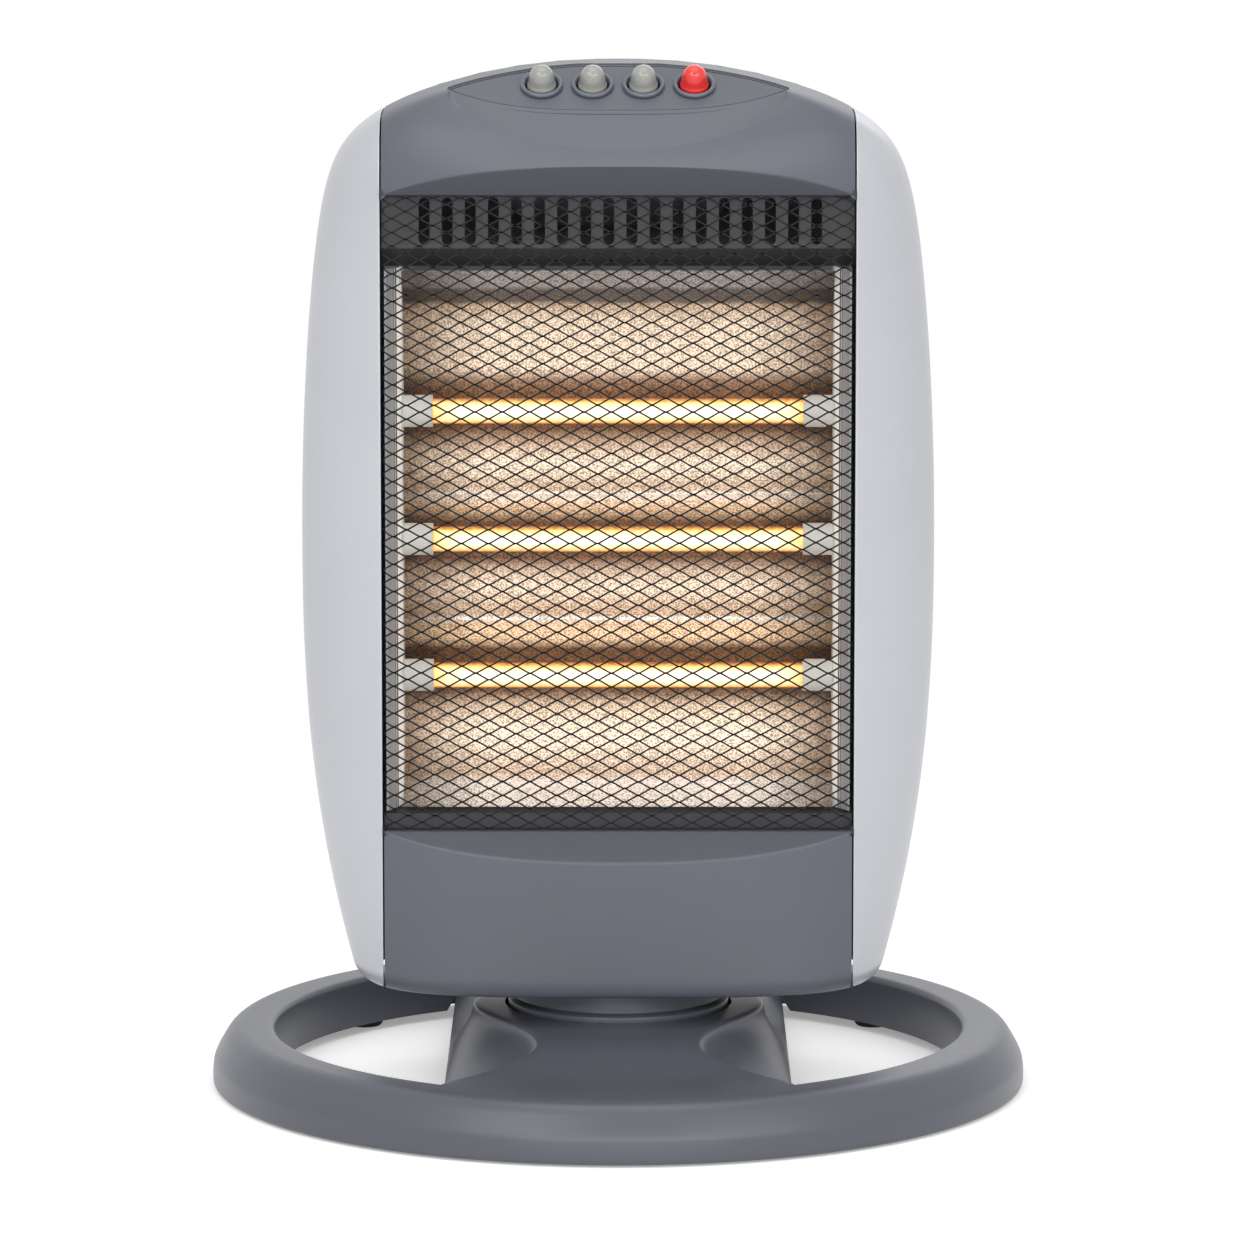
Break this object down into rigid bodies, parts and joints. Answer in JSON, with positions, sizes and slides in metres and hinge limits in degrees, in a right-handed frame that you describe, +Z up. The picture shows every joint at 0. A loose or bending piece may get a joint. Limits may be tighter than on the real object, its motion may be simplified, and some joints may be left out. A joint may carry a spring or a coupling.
{
  "type": "halogen heater",
  "caption": "Free-standing heater: a tall head with glowing tubes behind a mesh guard swings from side to side on a flat ring base with push buttons on top.",
  "frame": {"origin": "centre of the base on the floor", "axes": "+Z up, the guard faces -Y, +X to the right seen from the back and to the right in a front view"},
  "size_m": [0.39, 0.39, 0.4903],
  "materials": {
    "housing": "satin moulded",
    "base": "satin moulded",
    "silver": "silver satin moulded",
    "bezel": "glossy moulded",
    "button": "glossy moulded",
    "red": "glossy moulded",
    "black": "black satin paint",
    "bright": "bright rolled sheet",
    "steel": "zinc plated",
    "quartz": "clear quartz",
    "ceramic": "unglazed",
    "glow": "glowing tungsten wire",
    "rubber": "matte",
    "switch": "matte moulded"
  },
  "bodies": {
    "base": {"base_ring": "base", "foot_1": "rubber", "foot_2": "rubber", "foot_3": "rubber", "foot_4": "rubber", "pivot_spindle": "steel", "spindle_washer": "steel", "spindle_nut": "steel", "guide_plate": "steel", "guide_screw_1": "steel", "guide_screw_2": "steel", "guide_screw_3": "steel"},
    "head": {"bezel_1": "bezel", "bezel_2": "bezel", "bezel_3": "bezel", "bezel_4": "bezel", "chassis_bracket": "steel", "control_panel": "housing", "cord_gland": "rubber", "filament_1": "glow", "filament_2": "glow", "filament_3": "glow", "front_guard": "black", "halogen_tube_1": "quartz", "halogen_tube_2": "quartz", "halogen_tube_3": "quartz", "heat_shield": "steel", "hood": "housing", "lower_front_panel": "housing", "lower_trim": "black", "rear_cover": "housing", "rear_screw_1": "steel", "rear_screw_2": "steel", "rear_screw_3": "steel", "rear_screw_4": "steel", "reflector": "bright", "reflector_end_left": "bright", "reflector_end_right": "bright", "side_panel_left": "silver", "side_panel_right": "silver", "swing_motor": "steel", "switch_block": "switch", "terminal_block": "ceramic", "thermal_cutout": "steel", "tilt_switch_bracket": "switch", "tube_cap_left_1": "ceramic", "tube_cap_left_2": "ceramic", "tube_cap_left_3": "ceramic", "tube_cap_right_1": "ceramic", "tube_cap_right_2": "ceramic", "tube_cap_right_3": "ceramic", "turntable_disc": "base", "vent_panel": "black"},
    "crank": {"crank": "steel"},
    "tilt_weight": {"tilt_weight": "steel"},
    "button_1": {"button_1": "button"},
    "button_2": {"button_2": "button"},
    "button_3": {"button_3": "button"},
    "button_4": {"button_4": "red"}
  },
  "joints": [
    {"name": "head_swing", "type": "hinge", "parent": "base", "child": "head", "pos_m": [0, 0, 0.033], "axis": [0, 0, 1], "range_deg": [-35, 35]},
    {"name": "crank_turn", "type": "hinge", "parent": "head", "child": "crank", "pos_m": [0, 0.025, 0.05], "axis": [0, 0, 1], "range_deg": [-107, 107]},
    {"name": "tilt_swing", "type": "hinge", "parent": "head", "child": "tilt_weight", "pos_m": [-0.054, -0.008, 0.0825], "axis": [1, 0, 0], "range_deg": [-12, 12]},
    {"name": "button_1_press", "type": "slide", "parent": "head", "child": "button_1", "axis": [0, 0.5446, -0.8387], "range_m": [0, 0.003], "stiffness_N_per_m": 600},
    {"name": "button_2_press", "type": "slide", "parent": "head", "child": "button_2", "axis": [0, 0.5446, -0.8387], "range_m": [0, 0.003], "stiffness_N_per_m": 600},
    {"name": "button_3_press", "type": "slide", "parent": "head", "child": "button_3", "axis": [0, 0.5446, -0.8387], "range_m": [0, 0.003], "stiffness_N_per_m": 600},
    {"name": "button_4_press", "type": "slide", "parent": "head", "child": "button_4", "axis": [0, 0.5446, -0.8387], "range_m": [0, 0.003], "stiffness_N_per_m": 600}
  ],
  "couplings": [
    {"joint": "crank_turn", "follows": "head_swing", "ratio": -3.03}
  ]
}
